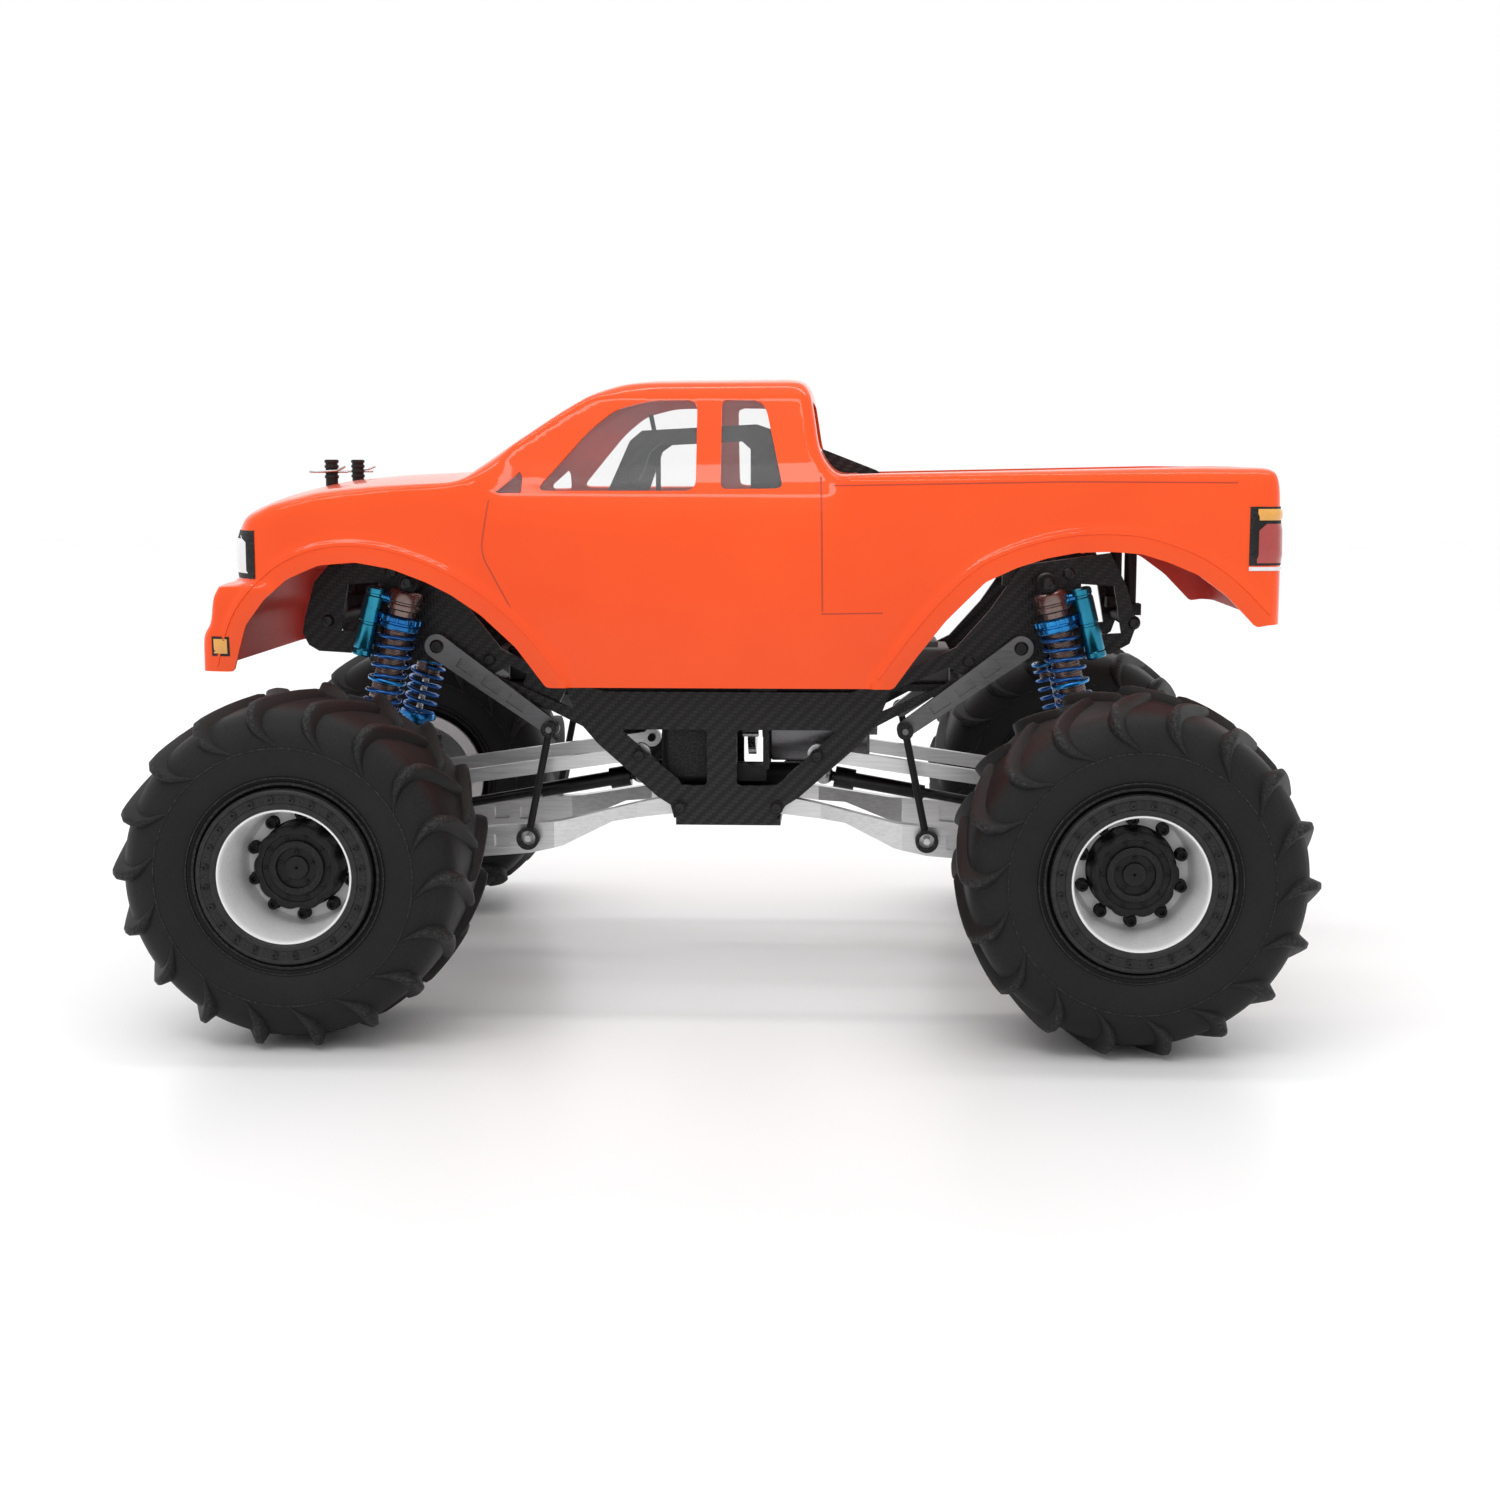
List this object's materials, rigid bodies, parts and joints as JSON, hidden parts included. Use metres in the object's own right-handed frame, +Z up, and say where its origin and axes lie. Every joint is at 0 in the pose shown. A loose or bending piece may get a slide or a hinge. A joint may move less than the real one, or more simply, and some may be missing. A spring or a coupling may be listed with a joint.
{
  "type": "rc monster truck",
  "caption": "Radio-controlled solid-axle monster truck with four-link suspension, coil-over dampers, roll cage, chevron-lug beadlock tyres and a pickup body.",
  "frame": {"origin": "on the ground, at the centre of the rectangle that the tyres and body cover", "axes": "+X forward, +Y the truck's left, +Z up"},
  "size_m": [0.524, 0.386, 0.296],
  "materials": {
    "carbon": "woven carbon plate, satin",
    "black_plastic": "moulded nylon, fine grain",
    "black_alloy": "black anodised",
    "silver_alloy": "satin billet",
    "blue_alloy": "blue anodised",
    "steel": "hardened steel",
    "motor_can": "black motor can",
    "battery_wrap": "hard plastic case",
    "body_paint": "polycarbonate painted from inside, glossy",
    "window": "clear polycarbonate",
    "headlamp": "bright lens",
    "taillamp": "red lens",
    "tyre": "moulded rubber",
    "rim": "white nylon",
    "ring": "dark grey beadlock",
    "spring": "powder coated spring",
    "nylon_white": "moulded gear",
    "receiver": "sealed box"
  },
  "bodies": {
    "chassis": {"chassis_plate_left": "carbon", "chassis_plate_right": "carbon", "skid_plate": "black_plastic", "frame_spacers": "black_alloy", "cage_plates": "carbon", "gearbox_case": "black_plastic", "motor": "motor_can", "battery": "battery_wrap", "battery_tray": "black_plastic", "speed_controller": "motor_can", "receiver_box": "receiver", "antenna": "black_plastic", "body_posts": "black_plastic", "body_clips": "steel", "body_shell": "body_paint", "window_panes": "window", "front_lamps": "headlamp", "rear_lamps": "taillamp"},
    "spur": {"spur_gear": "nylon_white"},
    "motor_rotor": {"motor_pinion": "steel"},
    "front_lower_arms": {"front_lower_links": "silver_alloy"},
    "front_upper_arms": {"front_upper_links": "silver_alloy"},
    "front_axle": {"front_axle_housing": "black_plastic", "steering_servo": "black_plastic"},
    "front_shaft_tilt": {"front_drive_ball": "steel"},
    "front_shaft": {"front_driveshaft": "black_alloy"},
    "front_pinion": {"front_pinion_cup": "steel"},
    "front_damper_bodies": {"front_shock_bodies": "blue_alloy", "front_shock_springs": "spring"},
    "front_damper_shafts": {"front_shock_shafts": "steel"},
    "front_sway_bar": {"front_sway_arms": "silver_alloy"},
    "front_sway_droppers": {"front_sway_links": "black_alloy"},
    "rear_lower_arms": {"rear_lower_links": "silver_alloy"},
    "rear_upper_arms": {"rear_upper_links": "silver_alloy"},
    "rear_axle": {"rear_axle_housing": "black_plastic"},
    "rear_shaft_tilt": {"rear_drive_ball": "steel"},
    "rear_shaft": {"rear_driveshaft": "black_alloy"},
    "rear_pinion": {"rear_pinion_cup": "steel"},
    "rear_damper_bodies": {"rear_shock_bodies": "blue_alloy", "rear_shock_springs": "spring"},
    "rear_damper_shafts": {"rear_shock_shafts": "steel"},
    "rear_sway_bar": {"rear_sway_arms": "silver_alloy"},
    "rear_sway_droppers": {"rear_sway_links": "black_alloy"},
    "knuckle_left": {"steering_knuckle_left": "silver_alloy"},
    "knuckle_right": {"steering_knuckle_right": "silver_alloy"},
    "tie_rod": {"tie_rod": "black_alloy"},
    "horn": {"servo_horn": "silver_alloy"},
    "drag_link": {"drag_link": "black_alloy"},
    "wheel_rear_left": {"tyre_rear_left": "tyre", "rim_rear_left": "rim", "wheel_hardware_rear_left": "ring"},
    "wheel_rear_right": {"tyre_rear_right": "tyre", "rim_rear_right": "rim", "wheel_hardware_rear_right": "ring"},
    "wheel_front_left": {"tyre_front_left": "tyre", "rim_front_left": "rim", "wheel_hardware_front_left": "ring"},
    "wheel_front_right": {"tyre_front_right": "tyre", "rim_front_right": "rim", "wheel_hardware_front_right": "ring"}
  },
  "joints": [
    {"name": "front_suspension", "type": "hinge", "parent": "chassis", "child": "front_lower_arms", "pos_m": [0.024, 0, 0.086], "axis": [0, -1, 0], "range_deg": [-8, 8], "stiffness_Nm_per_rad": 22, "springref_deg": -7.45},
    {"name": "front_axle_level", "type": "hinge", "parent": "front_lower_arms", "child": "front_axle", "pos_m": [0.156, 0, 0.067], "axis": [0, -1, 0], "range_deg": [-9, 9]},
    {"name": "front_upper_link_swing", "type": "hinge", "parent": "chassis", "child": "front_upper_arms", "pos_m": [0.044, 0, 0.112], "axis": [0, -1, 0], "range_deg": [-9, 9]},
    {"name": "front_shaft_angle", "type": "hinge", "parent": "chassis", "child": "front_shaft_tilt", "pos_m": [0.047, 0, 0.097], "axis": [0, -1, 0], "range_deg": [-12, 12]},
    {"name": "front_shaft_spin", "type": "hinge", "parent": "front_shaft_tilt", "child": "front_shaft", "pos_m": [0.047, 0, 0.097], "axis": [0.9847, 0, -0.1744], "continuous": true},
    {"name": "front_pinion_spin", "type": "hinge", "parent": "front_axle", "child": "front_pinion", "pos_m": [0.143, 0, 0.08], "axis": [1, 0, 0], "continuous": true},
    {"name": "front_damper_swing", "type": "hinge", "parent": "chassis", "child": "front_damper_bodies", "pos_m": [0.154, 0, 0.198], "axis": [0, -1, 0], "range_deg": [-5, 5]},
    {"name": "front_damper_stroke", "type": "slide", "parent": "front_damper_bodies", "child": "front_damper_shafts", "axis": [0.2425, 0, -0.9701], "range_m": [-0.0185, 0.0185], "deforming": ["front_shock_springs"]},
    {"name": "front_sway_bar_turn", "type": "hinge", "parent": "chassis", "child": "front_sway_bar", "pos_m": [0.143, 0, 0.166], "axis": [0, -1, 0], "range_deg": [-10, 10]},
    {"name": "front_sway_link_turn", "type": "hinge", "parent": "front_sway_bar", "child": "front_sway_droppers", "pos_m": [0.087, 0, 0.126], "axis": [0, -1, 0], "range_deg": [-20, 20]},
    {"name": "rear_suspension", "type": "hinge", "parent": "chassis", "child": "rear_lower_arms", "pos_m": [-0.024, 0, 0.086], "axis": [0, 1, 0], "range_deg": [-8, 8], "stiffness_Nm_per_rad": 22, "springref_deg": -7.45},
    {"name": "rear_axle_level", "type": "hinge", "parent": "rear_lower_arms", "child": "rear_axle", "pos_m": [-0.156, 0, 0.067], "axis": [0, 1, 0], "range_deg": [-9, 9]},
    {"name": "rear_upper_link_swing", "type": "hinge", "parent": "chassis", "child": "rear_upper_arms", "pos_m": [-0.044, 0, 0.112], "axis": [0, 1, 0], "range_deg": [-9, 9]},
    {"name": "rear_shaft_angle", "type": "hinge", "parent": "chassis", "child": "rear_shaft_tilt", "pos_m": [-0.047, 0, 0.097], "axis": [0, 1, 0], "range_deg": [-12, 12]},
    {"name": "rear_shaft_spin", "type": "hinge", "parent": "rear_shaft_tilt", "child": "rear_shaft", "pos_m": [-0.047, 0, 0.097], "axis": [0.9847, 0, 0.1744], "continuous": true},
    {"name": "rear_pinion_spin", "type": "hinge", "parent": "rear_axle", "child": "rear_pinion", "pos_m": [-0.143, 0, 0.08], "axis": [1, 0, 0], "continuous": true},
    {"name": "rear_damper_swing", "type": "hinge", "parent": "chassis", "child": "rear_damper_bodies", "pos_m": [-0.154, 0, 0.198], "axis": [0, 1, 0], "range_deg": [-5, 5]},
    {"name": "rear_damper_stroke", "type": "slide", "parent": "rear_damper_bodies", "child": "rear_damper_shafts", "axis": [-0.2425, 0, -0.9701], "range_m": [-0.0185, 0.0185], "deforming": ["rear_shock_springs"]},
    {"name": "rear_sway_bar_turn", "type": "hinge", "parent": "chassis", "child": "rear_sway_bar", "pos_m": [-0.143, 0, 0.166], "axis": [0, 1, 0], "range_deg": [-10, 10]},
    {"name": "rear_sway_link_turn", "type": "hinge", "parent": "rear_sway_bar", "child": "rear_sway_droppers", "pos_m": [-0.087, 0, 0.126], "axis": [0, 1, 0], "range_deg": [-20, 20]},
    {"name": "steering", "type": "hinge", "parent": "front_axle", "child": "knuckle_left", "pos_m": [0.184, 0.124, 0.078], "axis": [0, 0, 1], "range_deg": [-25, 25]},
    {"name": "right_knuckle_turn", "type": "hinge", "parent": "front_axle", "child": "knuckle_right", "pos_m": [0.184, -0.124, 0.078], "axis": [0, 0, 1], "range_deg": [-26, 26]},
    {"name": "tie_rod_swing", "type": "hinge", "parent": "knuckle_left", "child": "tie_rod", "pos_m": [0.202, 0.124, 0.078], "axis": [0, 0, 1], "range_deg": [-26, 26]},
    {"name": "servo_horn_turn", "type": "hinge", "parent": "front_axle", "child": "horn", "pos_m": [0.196, 0.03, 0.094], "axis": [0, 0, 1], "range_deg": [-26, 26]},
    {"name": "drag_link_swing", "type": "hinge", "parent": "horn", "child": "drag_link", "pos_m": [0.214, 0.03, 0.0875], "axis": [0, 0, 1], "range_deg": [-26, 26]},
    {"name": "drive", "type": "hinge", "parent": "rear_axle", "child": "wheel_rear_left", "pos_m": [-0.184, 0.148, 0.078], "axis": [0, 1, 0], "continuous": true},
    {"name": "wheel_rear_right_spin", "type": "hinge", "parent": "rear_axle", "child": "wheel_rear_right", "pos_m": [-0.184, -0.148, 0.078], "axis": [0, 1, 0], "continuous": true},
    {"name": "wheel_front_left_spin", "type": "hinge", "parent": "knuckle_left", "child": "wheel_front_left", "pos_m": [0.184, 0.148, 0.078], "axis": [0, 1, 0], "continuous": true},
    {"name": "wheel_front_right_spin", "type": "hinge", "parent": "knuckle_right", "child": "wheel_front_right", "pos_m": [0.184, -0.148, 0.078], "axis": [0, 1, 0], "continuous": true},
    {"name": "spur_spin", "type": "hinge", "parent": "chassis", "child": "spur", "pos_m": [-0.01, -0.012, 0.124], "axis": [1, 0, 0], "continuous": true},
    {"name": "motor_spin", "type": "hinge", "parent": "chassis", "child": "motor_rotor", "pos_m": [-0.01, 0.0111, 0.124], "axis": [1, 0, 0], "continuous": true}
  ],
  "couplings": [
    {"joint": "front_axle_level", "follows": "front_suspension", "ratio": -1},
    {"joint": "front_upper_link_swing", "follows": "front_suspension", "ratio": 1},
    {"joint": "front_shaft_angle", "follows": "front_suspension", "ratio": 1.3653},
    {"joint": "front_shaft_spin", "follows": "drive", "ratio": 2.7692},
    {"joint": "front_pinion_spin", "follows": "drive", "ratio": 2.7692},
    {"joint": "front_damper_swing", "follows": "front_suspension", "ratio": 0.47003},
    {"joint": "front_damper_stroke", "follows": "front_suspension", "m_per_rad": -0.12338},
    {"joint": "front_sway_bar_turn", "follows": "front_suspension", "ratio": -1.1359},
    {"joint": "front_sway_link_turn", "follows": "front_suspension", "ratio": 2.2417},
    {"joint": "rear_axle_level", "follows": "rear_suspension", "ratio": -1},
    {"joint": "rear_upper_link_swing", "follows": "rear_suspension", "ratio": 1},
    {"joint": "rear_shaft_angle", "follows": "rear_suspension", "ratio": 1.3653},
    {"joint": "rear_shaft_spin", "follows": "drive", "ratio": 2.7692},
    {"joint": "rear_pinion_spin", "follows": "drive", "ratio": 2.7692},
    {"joint": "rear_damper_swing", "follows": "rear_suspension", "ratio": 0.47003},
    {"joint": "rear_damper_stroke", "follows": "rear_suspension", "m_per_rad": -0.12338},
    {"joint": "rear_sway_bar_turn", "follows": "rear_suspension", "ratio": -1.1359},
    {"joint": "rear_sway_link_turn", "follows": "rear_suspension", "ratio": 2.2417},
    {"joint": "right_knuckle_turn", "follows": "steering", "ratio": 1},
    {"joint": "tie_rod_swing", "follows": "steering", "ratio": -1},
    {"joint": "servo_horn_turn", "follows": "steering", "ratio": 1},
    {"joint": "drag_link_swing", "follows": "steering", "ratio": -1},
    {"joint": "wheel_rear_right_spin", "follows": "drive", "ratio": 1},
    {"joint": "wheel_front_left_spin", "follows": "drive", "ratio": 1},
    {"joint": "wheel_front_right_spin", "follows": "drive", "ratio": 1},
    {"joint": "spur_spin", "follows": "drive", "ratio": -4.1538},
    {"joint": "motor_spin", "follows": "drive", "ratio": 12.981}
  ]
}
